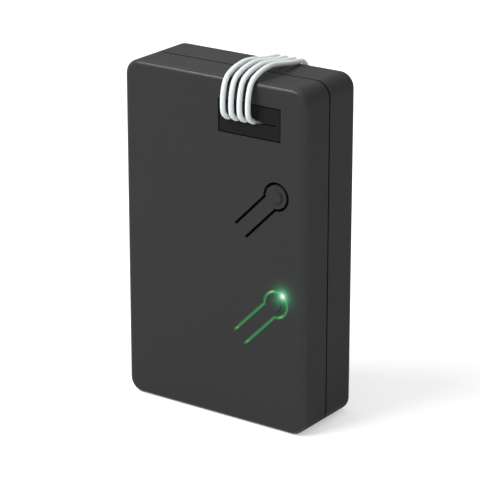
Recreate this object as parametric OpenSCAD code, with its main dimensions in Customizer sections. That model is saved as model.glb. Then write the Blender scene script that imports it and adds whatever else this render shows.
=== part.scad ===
// Garage door controller: a two-shell box with two flexing keyhole buttons and four flying leads.
// The front face looks towards -Y, the height runs along +Z, the origin is under the middle of the base.

/* [Housing] */
// Width of the housing across the front
housing_w = 56; // [54:1:66]
// Height of the housing
housing_h = 92; // [88:1:104]
// Depth of the housing from front to back
housing_d = 22.5; // [22:0.5:30]
// Depth of the front cover, from the face to the parting line
front_d = 10.6; // [9.6:0.1:11.6]
// Wall thickness of both covers
wall = 2; // [1.8:0.1:2.4]
// Radius of the four corners of the outline
corner_r = 4; // [3.4:0.2:6]
// Radius of the edge round the front and round the back
edge_r = 1.3; // [0.8:0.1:1.6]
// Width of the shadow line at the parting
seam_w = 0.4; // [0.2:0.05:0.5]
// Height of the lip that the rear cover puts inside the front cover
lip_h = 1.6; // [1.2:0.1:2.2]
// Clearance between the lip and the front cover
lip_gap = 0.1; // [0.05:0.05:0.2]

/* [Screw columns] */
// Diameter of the columns that hold the cover screws
column_d = 6.4; // [6:0.1:6.8]
// Distance from the outside of a side wall to a column's axis
column_inset = 5.4; // [5.4:0.1:6]
// Height of the lower columns above the base
column_z = 6; // [5.6:0.1:8]
// Room between an upper column and the wire grommet
column_gap = 0.5; // [0.3:0.1:1]
// Diameter of a screw's shank
screw_d = 2.5; // [2.2:0.1:2.8]
// Length of a screw's shank
screw_l = 12; // [10:0.5:14]
// Diameter of a screw's head
screw_head_d = 4.6; // [4.2:0.1:4.8]
// Height of a screw's head
screw_head_h = 1.8; // [1.4:0.1:2.2]
// Depth of the counterbore in the back, down to the seat of the head
counterbore = 5; // [4:0.1:6]

/* [Wall fixing] */
// Distance between the two keyholes in the back
keyhole_pitch = 35; // [34:0.5:37]
// Height of the round entries of the keyholes above the base
keyhole_z = 48; // [30:1:54]
// Diameter of a keyhole's entry
keyhole_d = 7.6; // [7:0.1:8]
// Width of a keyhole's slot
keyhole_slot_w = 4.4; // [3.6:0.1:4.6]
// Length of a keyhole's slot, from the entry's centre to the slot's end centre
keyhole_rise = 6.5; // [5.5:0.1:8]

/* [Wire entry] */
// Width of the window in the face
window_w = 19; // [18:0.2:20]
// Height of the window in the face
window_h = 8.8; // [8:0.2:9.6]
// Distance from the top of the housing to the window's centre
window_drop = 10; // [9.6:0.1:12]
// Distance from the right side to the window's centre
window_inset = 17; // [16.6:0.1:19]
// Radius of the window's corners
window_r = 0.3; // [0.2:0.1:0.8]
// Depth of the grommet's face below the housing's face
grommet_recess = 0.15; // [0.1:0.05:0.5]
// Gap round the grommet inside the window
grommet_gap = 0.3; // [0.2:0.05:0.4]
// Thickness of the grommet's slit membrane
membrane_t = 1; // [0.8:0.1:1.2]
// Thickness of the grommet's rim behind the membrane
rim_t = 1.2; // [0.8:0.1:1.4]
// Width of the grommet's flange behind the cover
flange_w = 1.5; // [1:0.1:1.6]
// Thickness of the grommet's flange
flange_t = 1; // [0.8:0.1:1.4]
// Width of the slit between the leads
slit_w = 0.3; // [0.2:0.05:0.5]
// Distance of the slit below the window's centre
slit_drop = 0.3; // [0:0.1:1]
// Height of the slit where the leads hold it open
slit_open_h = 1.5; // [1.2:0.1:1.6]
// Length over which the slit closes beside the last lead
slit_close_l = 3.6; // [3:0.1:4]

/* [Buttons] */
// Distance from the right side to the heads of the buttons
button_inset = 8.75; // [8.7:0.05:10]
// Distance from the top of the housing to the upper button's head
button_drop = 28.55; // [27.6:0.05:32]
// Distance between the two heads
button_pitch = 28.7; // [25:0.1:29.5]
// Diameter of a button's head
head_d = 6.2; // [6:0.1:7]
// Width of a button's tongue
tongue_w = 3.7; // [3.2:0.1:4.2]
// Length of a tongue, from its root to the head's centre
tongue_l = 15.3; // [13:0.1:16]
// Direction of a tongue on the face, measured from the horizontal
tongue_angle = 45; // [40:1:50]
// Thickness of a tongue
tongue_t = 1.6; // [1.4:0.1:1.8]
// Thickness of the flexing web at a tongue's root
web_t = 0.8; // [0.6:0.05:0.9]
// Radius of the groove behind the web
groove_r = 0.5; // [0.4:0.05:0.6]
// Width of the keyhole slot round a button
slot_w = 0.75; // [0.7:0.05:0.9]
// Diameter of the raised pad on a head
pad_d = 3.6; // [2.8:0.1:4]
// Height of the raised pad
pad_h = 0.4; // [0.2:0.05:0.5]
// Radius of the pad's upper edge
pad_edge = 0.3; // [0.1:0.05:0.35]
// Diameter of the post behind a head
post_d = 2.4; // [2:0.1:3]
// Gap between a post and its switch at rest
press_gap = 0.1; // [0.05:0.05:0.2]

/* [Light guide] */
// Thickness of the rib in the slot
guide_t = 0.5; // [0.4:0.05:0.5]
// Depth of the rib's edge below the face
guide_recess = 0.2; // [0.1:0.05:0.5]
// Width of the guide's flange behind the cover
guide_flange_w = 1.5; // [1:0.1:2]
// Thickness of the guide's flange
guide_flange_t = 1.2; // [0.8:0.1:1.6]
// Diameter of the stem that collects the lamp's light
stem_d = 3; // [2.4:0.1:3.4]
// Gap between the stem and the lamp
stem_gap = 0.2; // [0.1:0.05:0.4]
// Distance from the lower head's centre to the lamp
led_reach = 6.4; // [6.2:0.1:6.6]
// Direction from the lower head's centre to the lamp
led_angle = 52; // [48:1:58]
// Diameter of the lamp's lens
led_d = 3; // [2.6:0.1:3.2]
// Height of the lamp above the board
led_h = 5.3; // [4.6:0.1:6]

/* [Board] */
// Depth of the board's front side below the face
board_depth = 13.5; // [13:0.1:14]
// Thickness of the board
board_t = 1.6; // [1.2:0.1:2]
// Gap between the board's edge and the covers' walls
board_gap = 1; // [0.6:0.1:1.2]
// Clearance of a screw in the rear column and in the board
screw_gap = 0.2; // [0.1:0.05:0.3]
// Running clearance of a screw in the front column and of a plunger in its switch
fit_gap = 0.05; // [0.03:0.01:0.1]

/* [Switches] */
// Side of a switch's square body
switch_w = 6; // [5.6:0.1:6.2]
// Height of a switch's body
switch_h = 3.5; // [3:0.1:4]
// Height of a plunger's tip above the board
plunger_h = 7; // [6:0.1:8]
// Diameter of a plunger
plunger_d = 3.5; // [3:0.1:4]
// Depth of the bore that a plunger slides in
plunger_bore = 2.4; // [2:0.1:2.6]
// Room below a plunger at rest, which is more than its travel
plunger_room = 0.6; // [0.5:0.05:0.9]

/* [Terminal] */
// Distance between neighbouring leads
lead_pitch = 2.54; // [2.5:0.02:2.6]
// Diameter of a lead over its insulation
lead_d = 1.4; // [1.3:0.05:1.5]
// Clearance round a lead in the grommet and in the terminal
lead_gap = 0.08; // [0.06:0.01:0.1]
// Diameter of the bare conductor
conductor_d = 0.8; // [0.6:0.05:0.9]
// Length of the bare end
bare_l = 5; // [4:0.5:5.5]
// Height of the terminal block above the board
terminal_h = 8.5; // [8:0.1:9]
// Size of the terminal block along the housing's height
terminal_t = 6.6; // [5.6:0.2:7.6]
// Depth of the wire holes in the terminal block
terminal_bore = 4; // [3.2:0.1:4.4]
// Bevel of the terminal block's upper edges
terminal_bevel = 0.8; // [0.4:0.1:1]
// Depth of the funnel at a wire hole
funnel_h = 0.35; // [0.2:0.05:0.4]
// Side of a release pocket beside a wire hole
release_w = 1.4; // [1:0.1:1.8]
// Height of a metal collar at the bottom of a wire hole
clamp_h = 1; // [0.8:0.1:1.4]

/* [Inner components] */
// Room between neighbours on the board
component_gap = 5; // [3:0.5:6]
// Narrow room between the relays and beside the screw column
narrow_gap = 1.5; // [1:0.1:2]
// Length of a relay
relay_l = 12.6; // [11:0.1:13]
// Width of a relay
relay_w = 7.6; // [7:0.1:8.6]
// Height of a relay
relay_h = 10; // [8:0.1:10.4]
// Diameter of the reservoir capacitor
capacitor_d = 8; // [6.3:0.1:8.4]
// Height of the reservoir capacitor
capacitor_h = 10; // [8:0.1:10.4]
// Radius of the crimped groove near the capacitor's foot
crimp_r = 0.4; // [0.2:0.05:0.6]
// Diameter of the fuse
fuse_d = 8.4; // [7.6:0.1:8.6]
// Height of the fuse
fuse_h = 7.6; // [6:0.1:8]
// Length of the rectifier
rectifier_l = 4.7; // [4:0.1:5.4]
// Width of the rectifier
rectifier_w = 3.9; // [3.4:0.1:4.4]
// Height of the rectifier
rectifier_h = 2.5; // [2:0.1:3]
// Length of the regulator
regulator_l = 6.5; // [5.6:0.1:7]
// Width of the regulator
regulator_w = 6; // [5.4:0.1:6.4]
// Height of the regulator
regulator_h = 2.3; // [1.8:0.1:2.6]
// Side of the microcontroller
chip_w = 10; // [8.5:0.5:12]
// Height of the microcontroller
chip_h = 1.4; // [1:0.1:2]
// Number of legs on each side of the microcontroller
chip_legs = 8; // [4:1:8]
// Length of a bent leg, from its body to its toe
leg_l = 1; // [0.8:0.05:1.2]
// Thickness of a bent leg
leg_t = 0.2; // [0.15:0.05:0.3]
// Length of the radio board
radio_l = 20; // [18:0.5:22]
// Width of the radio board
radio_w = 16; // [14:0.5:18]
// Thickness of the radio board
radio_t = 1; // [0.8:0.1:1.6]
// Length of the shield can on the radio board
shield_l = 13; // [11:0.5:13.5]
// Height of the shield can
shield_h = 2.2; // [1.6:0.1:3]
// Thickness of the shield can's sheet
shield_t = 0.3; // [0.2:0.05:0.4]

/* [Hidden] */

$fn = 64;
// Overshoot of a cut past the face that it opens
cut = 0.5;
// Room under a body that stands on bent legs
stand_off = 0.1;

// Depth places, counted from the middle of the housing towards the viewer
face_n = housing_d / 2;
back_n = -housing_d / 2;
inner_face_n = face_n - wall;
inner_back_n = back_n + wall;
seam_n = face_n - front_d;
board_front_n = face_n - board_depth;
board_back_n = board_front_n - board_t;

// Inner outline of the covers, and the middle of the wall, where the lip stands
inner_w = housing_w - 2 * wall;
inner_h = housing_h - 2 * wall;
inner_r = corner_r - wall;
lip_w = housing_w - wall;
lip_height = housing_h - wall;
lip_r = corner_r - wall / 2;

// Places on the face
window_x = housing_w / 2 - window_inset;
window_z = housing_h - window_drop;
button_x = housing_w / 2 - button_inset;
upper_z = housing_h - button_drop;
lower_z = upper_z - button_pitch;
hinge_n = face_n - web_t - groove_r;
led_x = button_x + led_reach * cos(led_angle);
led_z = lower_z + led_reach * sin(led_angle);

// Screw columns, clear of the grommet's flange
column_x = housing_w / 2 - column_inset;
upper_column_z = window_z - window_h / 2 - flange_w - column_gap - column_d / 2;
columns = [for (x = [-column_x, column_x], z = [column_z, upper_column_z]) [x, z]];
head_seat_n = back_n + counterbore;

// Board and what stands on it
board_w = inner_w - 2 * board_gap;
board_h = inner_h - 2 * board_gap;
plunger_n = board_front_n + plunger_h;
switch_top_n = board_front_n + switch_h;
terminal_n = board_front_n + terminal_h;
clamp_top_n = terminal_n - terminal_bore + clamp_h;
wire_hole_d = lead_d + 2 * lead_gap;
board_foot = housing_h / 2 - board_h / 2;
board_top = housing_h / 2 + board_h / 2;

// Left column on the board, from its foot up: radio, microcontroller, then the supply
radio_x = -board_w / 2 + component_gap + narrow_gap + radio_l / 2;
radio_z = board_foot + component_gap + radio_w / 2;
chip_z = radio_z + radio_w / 2 + component_gap + chip_w / 2;
regulator_z = chip_z + chip_w / 2 + component_gap + regulator_w / 2;
regulator_x = radio_x - component_gap / 2 - regulator_l / 2;
capacitor_x = radio_x + component_gap / 2 + capacitor_d / 2;
// Top of the board: the relays beside the screw column
relay_x = -column_x + column_d / 2 + narrow_gap + relay_l / 2;
upper_relay_z = board_top - component_gap - relay_w / 2;
lamp_relay_z = upper_relay_z - relay_w - narrow_gap;

// Leads: the places of all four, and the route that they share, each in its own upright plane
first_lead = 6.5;
lead_x = [for (i = [0:3]) window_x - first_lead + i * lead_pitch];
lead_slope = 20;
lead_sides = 8;
slit_z = window_z - slit_drop;
entry_n = face_n - grommet_recess - membrane_t / 2;
lead_route = [
    [0, -entry_n, slit_z], [0, -entry_n - 0.8, slit_z + 0.8 * tan(lead_slope)],
    [0, -face_n - 1.15, slit_z + 0.9], [0, -face_n - 1.9, slit_z + 2.05],
    [0, -face_n - 2.1, slit_z + 4.2], [0, -face_n - 1.85, housing_h - 3.5],
    [0, -face_n - 1.1, housing_h - 1], [0, -face_n - 0.4, housing_h],
    [0, -face_n + 0.35, housing_h + 0.7], [0, -face_n + 1.6, housing_h + 1.3],
    [0, -face_n + 4.2, housing_h + 2.1], [0, -face_n + 8.5, housing_h + 2.5],
    [0, face_n - 5.25, housing_h + 1.2], [0, face_n - 0.85, housing_h + 0.78],
    [0, face_n + 0.2, housing_h + 0.35], [0, face_n + 1, housing_h - 0.45],
    [0, face_n + 1.45, housing_h - 1.5], [0, face_n + 0.9, 9]];
// The inner ends go on through the grommet, slant to the right behind it, and turn into the terminal
tail_in = 0.5;
tail_slant = 45;
tail_turn_n = terminal_n + 0.9;
tail_shift = (entry_n - tail_in - tail_turn_n) * tan(tail_slant);
terminal_z = slit_z - tail_in * tan(lead_slope);
tail_route = [
    [0, -entry_n, slit_z], [0, -entry_n + tail_in, terminal_z],
    [tail_shift, -tail_turn_n, terminal_z], [tail_shift, -clamp_top_n, terminal_z]];
terminal_w = 4 * lead_pitch + lead_gap;
terminal_x = lead_x[0] + tail_shift + 1.5 * lead_pitch;
// Below the terminal: the rectifier, then the fuse
rectifier_x = terminal_x;
rectifier_z = terminal_z - terminal_t / 2 - component_gap - rectifier_w / 2;
fuse_x = rectifier_x - rectifier_l / 2 - narrow_gap;
fuse_z = rectifier_z - rectifier_w / 2 - component_gap - fuse_d / 2;

// Colours
charcoal = [0.23, 0.23, 0.24];
black = [0.06, 0.06, 0.065];
white = [0.93, 0.94, 0.94];
silver = [0.75, 0.75, 0.77];
amber = [0.85, 0.55, 0.12];

// Lays a drawing made flat on X and Y, with Z towards the viewer, on to the upright face
module on_face() {
    rotate([90, 0, 0]) children();
}

// Rectangle with round corners, centred
module rounded_rect(w, h, r) {
    square([w - 2 * r, h], center = true);
    square([w, h - 2 * r], center = true);
    for (x = [-1, 1], y = [-1, 1])
        translate([x * (w / 2 - r), y * (h / 2 - r)]) circle(r);
}

// Cross-section of a bar with its two upper edges rounded
module rounded_bar(w, d, e) {
    translate([-w / 2 + e, 0]) square([w - 2 * e, d]);
    translate([-w / 2, 0]) square([w, d - e]);
    for (x = [-1, 1]) translate([x * (w / 2 - e), d - e]) circle(e);
}

// Cylinder with a rounded upper edge, standing on Z = 0
module soft_cylinder(r, h, e) {
    rotate_extrude() {
        square([r - e, h]);
        square([r, h - e]);
        translate([r - e, h - e]) circle(e);
    }
}

// Block with a round-cornered outline and a rounded upper edge, standing on Z = 0
module soft_block(w, h, d, r, e) {
    for (x = [-1, 1], y = [-1, 1])
        translate([x * (w / 2 - r), y * (h / 2 - r), 0]) soft_cylinder(r, d, e);
    translate([0, h / 2 - r, 0]) rotate([90, 0, 0]) linear_extrude(h - 2 * r) rounded_bar(w, d, e);
    translate([-w / 2 + r, 0, 0]) rotate([90, 0, 90]) linear_extrude(w - 2 * r) rounded_bar(h, d, e);
}

// Keyhole outline along +X from its root at X = 0: a leg of half width w and a head of radius r
module keyhole(r, w) {
    translate([tongue_l, 0]) circle(r);
    translate([0, -w]) square([tongue_l, 2 * w]);
}

// Places a drawing made along +X from a tongue's root on the button whose head is at height z
module at_button(z) {
    translate([button_x, z, 0]) rotate(tongue_angle) translate([-tongue_l, 0, 0]) children();
}

// Round groove behind the flexing web, along the bending line
module hinge_groove() {
    length = tongue_w + 2 * slot_w;
    translate([0, length / 2, hinge_n]) rotate([90, 0, 0]) cylinder(r = groove_r, h = length);
    translate([-groove_r, -length / 2, inner_face_n - cut])
        cube([2 * groove_r, length, hinge_n - inner_face_n + cut]);
}

// Leg of a flat component along +X: out of the body's side at a height, down, and along the board
module bent_leg(height, w) {
    rotate([90, 0, 0]) linear_extrude(w, center = true) {
        translate([-cut, height - leg_t]) square([leg_l / 2 + cut, leg_t]);
        translate([leg_l / 2 - leg_t, 0]) square([leg_t, height]);
        translate([leg_l / 2 - leg_t, 0]) square([leg_l / 2 + leg_t, leg_t]);
    }
}

// Flat body on bent legs, with its legs on the sides that face the given directions
module legged_body(l, w, h, sides, legs, pitch, leg_w) {
    translate([-l / 2, -w / 2, stand_off]) cube([l, w, h - stand_off]);
    for (a = sides, i = [0:legs - 1]) rotate(a)
        translate([(a % 180 == 0 ? l : w) / 2, (i - (legs - 1) / 2) * pitch, 0]) bent_leg(h / 2, leg_w);
}

// Places a drawing at the four screw columns
module at_columns() {
    for (c = columns) translate([c[0], c[1], 0]) children();
}

module front_cover() {
    color(charcoal) on_face() difference() {
        union() {
            difference() {
                translate([0, housing_h / 2, seam_n + seam_w / 2])
                    soft_block(housing_w, housing_h, front_d - seam_w / 2, corner_r, edge_r);
                translate([0, housing_h / 2, seam_n - cut])
                    linear_extrude(front_d - wall + cut) rounded_rect(inner_w, inner_h, inner_r);
                translate([0, housing_h / 2, seam_n - cut])
                    linear_extrude(lip_h + lip_gap + cut) rounded_rect(lip_w, lip_height, lip_r);
            }
            at_columns() translate([0, 0, board_front_n])
                cylinder(d = column_d, h = inner_face_n + cut - board_front_n);
        }
        at_columns() translate([0, 0, board_front_n - cut])
            cylinder(d = screw_d + 2 * fit_gap, h = inner_face_n - board_front_n);
        translate([window_x, window_z, inner_face_n - cut])
            linear_extrude(wall + 2 * cut) rounded_rect(window_w, window_h, window_r);
        for (z = [upper_z, lower_z]) at_button(z) {
            translate([0, 0, inner_face_n - cut])
                linear_extrude(wall + 2 * cut) keyhole(head_d / 2 + slot_w, tongue_w / 2 + slot_w);
            hinge_groove();
        }
    }
}

// Wall keyhole: round entry with a slot that rises from it
module wall_keyhole() {
    circle(d = keyhole_d);
    translate([-keyhole_slot_w / 2, 0]) square([keyhole_slot_w, keyhole_rise]);
    translate([0, keyhole_rise]) circle(d = keyhole_slot_w);
}

module rear_cover() {
    rear_d = housing_d - front_d - seam_w / 2;
    color(charcoal) on_face() difference() {
        union() {
            difference() {
                union() {
                    translate([0, housing_h / 2, back_n + rear_d]) mirror([0, 0, 1])
                        soft_block(housing_w, housing_h, rear_d, corner_r, edge_r);
                    translate([0, housing_h / 2, back_n + rear_d - cut])
                        linear_extrude(lip_h + seam_w / 2 + cut)
                        rounded_rect(lip_w - 2 * lip_gap, lip_height - 2 * lip_gap, lip_r - lip_gap);
                }
                translate([0, housing_h / 2, inner_back_n])
                    linear_extrude(housing_d) rounded_rect(inner_w, inner_h, inner_r);
            }
            at_columns() translate([0, 0, inner_back_n - cut])
                cylinder(d = column_d, h = board_back_n - inner_back_n + cut);
        }
        at_columns() {
            translate([0, 0, back_n - cut]) cylinder(d = screw_head_d + 2 * screw_gap, h = counterbore + cut);
            translate([0, 0, back_n]) cylinder(d = screw_d + 2 * screw_gap, h = housing_d / 2);
        }
        for (x = [-1, 1]) translate([x * keyhole_pitch / 2, keyhole_z, back_n - cut])
            linear_extrude(wall + 2 * cut) wall_keyhole();
    }
}

// Tongue with its head, pad, post and half of the groove at its root
module button(z) {
    color(charcoal) on_face() at_button(z) difference() {
        union() {
            translate([0, 0, face_n - tongue_t]) linear_extrude(tongue_t) keyhole(head_d / 2, tongue_w / 2);
            translate([tongue_l, 0, face_n - cut]) soft_cylinder(pad_d / 2, pad_h + cut, pad_edge);
            translate([tongue_l, 0, plunger_n + press_gap])
                cylinder(d = post_d, h = face_n - cut - plunger_n - press_gap);
        }
        hinge_groove();
    }
}

module upper_button() {
    button(upper_z);
}

module lower_button() {
    button(lower_z);
}

module light_guide() {
    slot_side = slot_w / 2 - guide_t / 2;
    inside_r = head_d / 2 + slot_side;
    inside_w = tongue_w / 2 + slot_side;
    base_n = inner_face_n - guide_flange_t;
    color([0.35, 0.85, 0.45]) on_face() {
        at_button(lower_z) difference() {
            union() {
                translate([0, 0, base_n]) linear_extrude(face_n - guide_recess - base_n)
                    keyhole(inside_r + guide_t, inside_w + guide_t);
                translate([0, 0, base_n]) linear_extrude(guide_flange_t)
                    keyhole(inside_r + guide_t + guide_flange_w, inside_w + guide_t + guide_flange_w);
                translate([tongue_l, 0, base_n]) rotate(led_angle - tongue_angle) {
                    translate([0, -stem_d / 2, 0]) cube([led_reach, stem_d, guide_flange_t]);
                    translate([led_reach, 0, board_front_n + led_h + stem_gap - base_n])
                        cylinder(d = stem_d, h = inner_face_n - board_front_n - led_h - stem_gap);
                }
            }
            translate([0, 0, board_front_n]) linear_extrude(housing_d) keyhole(inside_r, inside_w);
            // The root end stays clear of the end of the slot
            translate([-cut, -tongue_l, board_front_n]) cube([cut + slot_side, 2 * tongue_l, housing_d]);
        }
    }
}

// Slit held open from the first lead to the last, closing to a line on the right
module slit(first, last, end) {
    closed = last + slit_close_l;
    polygon([[first - slit_open_h / 2, 0], [first, -slit_open_h / 2], [last, -slit_open_h / 2],
        [closed, -slit_w / 2], [end, -slit_w / 2], [end, slit_w / 2], [closed, slit_w / 2],
        [last, slit_open_h / 2], [first, slit_open_h / 2]]);
}

module wire_grommet() {
    panel_w = window_w - 2 * grommet_gap;
    panel_h = window_h - 2 * grommet_gap;
    front_n = face_n - grommet_recess;
    rear_n = inner_face_n - flange_t;
    slit_end = window_x + panel_w / 2 - rim_t;
    color(black) on_face() difference() {
        union() {
            translate([window_x, window_z, rear_n])
                linear_extrude(front_n - rear_n) rounded_rect(panel_w, panel_h, window_r);
            translate([window_x, window_z, rear_n]) linear_extrude(flange_t)
                rounded_rect(window_w + 2 * flange_w, window_h + 2 * flange_w, window_r);
        }
        translate([window_x, window_z, rear_n - cut]) linear_extrude(front_n - membrane_t - rear_n + cut)
            rounded_rect(panel_w - 2 * rim_t, panel_h - 2 * rim_t, window_r);
        translate([0, slit_z, front_n - membrane_t - cut]) linear_extrude(membrane_t + 2 * cut)
            slit(lead_x[0], lead_x[3], slit_end);
        for (x = lead_x) {
            translate([x, slit_z, entry_n]) rotate([-lead_slope, 0, 0])
                cylinder(d = wire_hole_d, h = 4 * membrane_t, center = true);
            translate([x, terminal_z, entry_n - tail_in]) rotate([0, 180 - tail_slant, 0])
                translate([0, 0, -cut]) cylinder(d = wire_hole_d, h = 4 * membrane_t);
        }
    }
}

module main_board() {
    color([0.05, 0.3, 0.14]) on_face() difference() {
        translate([0, housing_h / 2, board_back_n])
            linear_extrude(board_t) rounded_rect(board_w, board_h, inner_r);
        at_columns() translate([0, 0, board_back_n - cut])
            cylinder(d = screw_d + 2 * screw_gap, h = board_t + 2 * cut);
    }
}

// Block with bevelled upper edges, four funnelled wire holes and a release pocket below each
module terminal_block() {
    low = terminal_t / 2;
    color([0.12, 0.13, 0.14]) on_face() translate([terminal_x, terminal_z, board_front_n]) difference() {
        translate([-terminal_w / 2, 0, 0]) rotate([90, 0, 90]) linear_extrude(terminal_w)
            polygon([[-low, 0], [low, 0], [low, terminal_h - terminal_bevel],
                [low - terminal_bevel, terminal_h], [terminal_bevel - low, terminal_h],
                [-low, terminal_h - terminal_bevel]]);
        for (i = [0:3]) translate([(i - 1.5) * lead_pitch, 0, terminal_h]) {
            translate([0, 0, -terminal_bore]) cylinder(d = wire_hole_d, h = terminal_bore + cut);
            translate([0, 0, -funnel_h])
                cylinder(d1 = wire_hole_d, d2 = wire_hole_d + 2 * (funnel_h + cut), h = funnel_h + cut);
            translate([-release_w / 2, terminal_bevel - low, -release_w])
                cube([release_w, low - terminal_bevel - wire_hole_d / 2 - funnel_h, release_w + cut]);
        }
    }
}

// Metal collars at the bottom of the wire holes, which the leads' ends press on
module terminal_clamps() {
    color(silver) on_face() for (x = lead_x)
        translate([x + tail_shift, terminal_z, terminal_n - terminal_bore]) difference() {
            cylinder(d = lead_d + lead_gap, h = clamp_h);
            translate([0, 0, -cut]) cylinder(d = conductor_d, h = clamp_h + 2 * cut);
        }
}

// Square switch with a round collar for its plunger, four corner studs and four bent legs
module switch_body(z) {
    collar_h = 0.4;
    stud_d = 0.9;
    stud_inset = 0.8;
    leg_w = 0.7;
    base_h = switch_h - collar_h;
    corner = switch_w / 2 - stud_inset;
    color([0.1, 0.1, 0.11]) on_face() translate([button_x, z, board_front_n]) difference() {
        union() {
            translate([-switch_w / 2, -switch_w / 2, 0]) cube([switch_w, switch_w, base_h]);
            cylinder(d = plunger_d + 4 * collar_h, h = switch_h);
            for (x = [-corner, corner], y = [-corner, corner]) translate([x, y, 0])
                cylinder(d = stud_d, h = base_h + collar_h / 2);
            for (a = [0, 180], y = [-corner, corner]) rotate(a) translate([switch_w / 2, y, 0])
                bent_leg(switch_h / 2, leg_w);
        }
        translate([0, 0, switch_h - plunger_bore])
            cylinder(d = plunger_d + 2 * fit_gap, h = plunger_bore + cut);
    }
}

module upper_switch() {
    switch_body(upper_z);
}

module lower_switch() {
    switch_body(lower_z);
}

module plunger(z) {
    foot_n = switch_top_n - plunger_bore + plunger_room;
    tip_edge = 0.2;
    color([0.85, 0.83, 0.78]) on_face() translate([button_x, z, foot_n])
        soft_cylinder(plunger_d / 2, plunger_n - foot_n, tip_edge);
}

module upper_plunger() {
    plunger(upper_z);
}

module lower_plunger() {
    plunger(lower_z);
}

// Round lamp with a collar at its foot and a domed lens
module status_led() {
    collar_w = 0.3;
    collar_h = 1;
    color([0.4, 0.9, 0.5]) on_face() translate([led_x, led_z, board_front_n]) {
        cylinder(d = led_d + 2 * collar_w, h = collar_h);
        cylinder(d = led_d, h = led_h - led_d / 2);
        translate([0, 0, led_h - led_d / 2]) sphere(d = led_d);
    }
}

// Sealed relay: a wider foot with a round-edged case on it and a vent nib on top
module relay(z) {
    foot_h = 1.2;
    foot_rim = 0.2;
    case_r = 1.2;
    case_edge = 0.5;
    nib_h = 0.3;
    color(amber) on_face() translate([relay_x, z, board_front_n]) {
        linear_extrude(foot_h) rounded_rect(relay_l, relay_w, case_r);
        soft_block(relay_l - 2 * foot_rim, relay_w - 2 * foot_rim, relay_h - nib_h, case_r, case_edge);
        translate([relay_l / 2 - 2 * case_r, relay_w / 2 - 2 * case_r, 0])
            cylinder(r = case_edge, h = relay_h);
    }
}

module opener_relay() {
    relay(upper_relay_z);
}

module lamp_relay() {
    relay(lamp_relay_z);
}

module fuse() {
    rim_r = 0.8;
    color([0.2, 0.12, 0.08]) on_face() translate([fuse_x, fuse_z, board_front_n])
        soft_cylinder(fuse_d / 2, fuse_h, rim_r);
}

module rectifier() {
    leg_pitch = 2.54;
    leg_w = 0.8;
    color(black) on_face() translate([rectifier_x, rectifier_z, board_front_n])
        legged_body(rectifier_l, rectifier_w, rectifier_h, [90, 270], 2, leg_pitch, leg_w);
}

// Can with a round rim, a crimped groove near its foot and a cross scored in its top
module reservoir_capacitor() {
    rim_r = 0.6;
    score_w = 0.4;
    score_l = capacitor_d * 0.7;
    color([0.1, 0.12, 0.3]) on_face() translate([capacitor_x, regulator_z, board_front_n]) difference() {
        soft_cylinder(capacitor_d / 2, capacitor_h, rim_r);
        translate([0, 0, 2 * crimp_r]) rotate_extrude() translate([capacitor_d / 2, 0]) circle(crimp_r);
        for (a = [45, 135]) translate([0, 0, capacitor_h]) rotate(a)
            cube([score_l, score_w, score_w], center = true);
    }
}

// Power package with three legs on one side and its cooling tab on the other
module regulator() {
    leg_pitch = 2.3;
    leg_w = 0.8;
    tab_l = regulator_l * 0.8;
    tab_t = 0.6;
    color(black) on_face() translate([regulator_x, regulator_z, board_front_n]) {
        legged_body(regulator_l, regulator_w, regulator_h, [270], 3, leg_pitch, leg_w);
        translate([-tab_l / 2, regulator_w / 2 - cut, 0]) cube([tab_l, leg_l + cut, tab_t]);
    }
}

// Flat package with legs on all four sides and a round mark at its first leg
module microcontroller() {
    leg_pitch = 1;
    leg_w = 0.45;
    mark_r = 0.6;
    mark_place = chip_w / 2 - 2 * mark_r;
    color(black) on_face() translate([radio_x, chip_z, board_front_n]) difference() {
        legged_body(chip_w, chip_w, chip_h, [0, 90, 180, 270], chip_legs, leg_pitch, leg_w);
        translate([-mark_place, mark_place, chip_h - stand_off]) cylinder(r = mark_r, h = cut);
    }
}

// Small board with half-round solder pads along two edges and a folded aerial at its free end
module radio_board() {
    pad_pitch = 2;
    pads = floor((radio_l - pad_pitch) / pad_pitch / 2);
    trace_w = 0.5;
    trace_t = 0.1;
    trace_h = radio_w - 4 * trace_w;
    trace_x = -radio_l / 2 + 2 * trace_w;
    color([0.05, 0.2, 0.3]) on_face() translate([radio_x, radio_z, board_front_n]) {
        difference() {
            translate([-radio_l / 2, -radio_w / 2, 0]) cube([radio_l, radio_w, radio_t]);
            for (i = [-pads:pads], y = [-radio_w / 2, radio_w / 2]) translate([i * pad_pitch, y, -cut])
                cylinder(r = trace_w, h = radio_t + 2 * cut);
        }
        linear_extrude(radio_t + trace_t) for (i = [0:3])
            translate([trace_x + 2 * i * trace_w, -trace_h / 2]) {
                square([trace_w, trace_h]);
                if (i < 3) translate([0, i % 2 == 0 ? 0 : trace_h - trace_w]) square([3 * trace_w, trace_w]);
            }
    }
}

// Pressed can, open below, with rows of small holes
module radio_shield() {
    can_r = 0.8;
    can_edge = 0.3;
    can_w = radio_w - 2 * can_r;
    can_x = radio_x + radio_l / 2 - shield_l / 2 - can_r;
    hole_pitch = 3;
    color(silver) on_face() translate([can_x, radio_z, board_front_n + radio_t]) difference() {
        soft_block(shield_l, can_w, shield_h, can_r, can_edge);
        translate([0, 0, -cut]) linear_extrude(shield_h - shield_t + cut)
            rounded_rect(shield_l - 2 * shield_t, can_w - 2 * shield_t, can_r - shield_t);
        for (x = [-1:1], y = [-1:1]) translate([x * hole_pitch, y * hole_pitch, 0])
            cylinder(d = can_r, h = shield_h + cut);
    }
}

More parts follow.
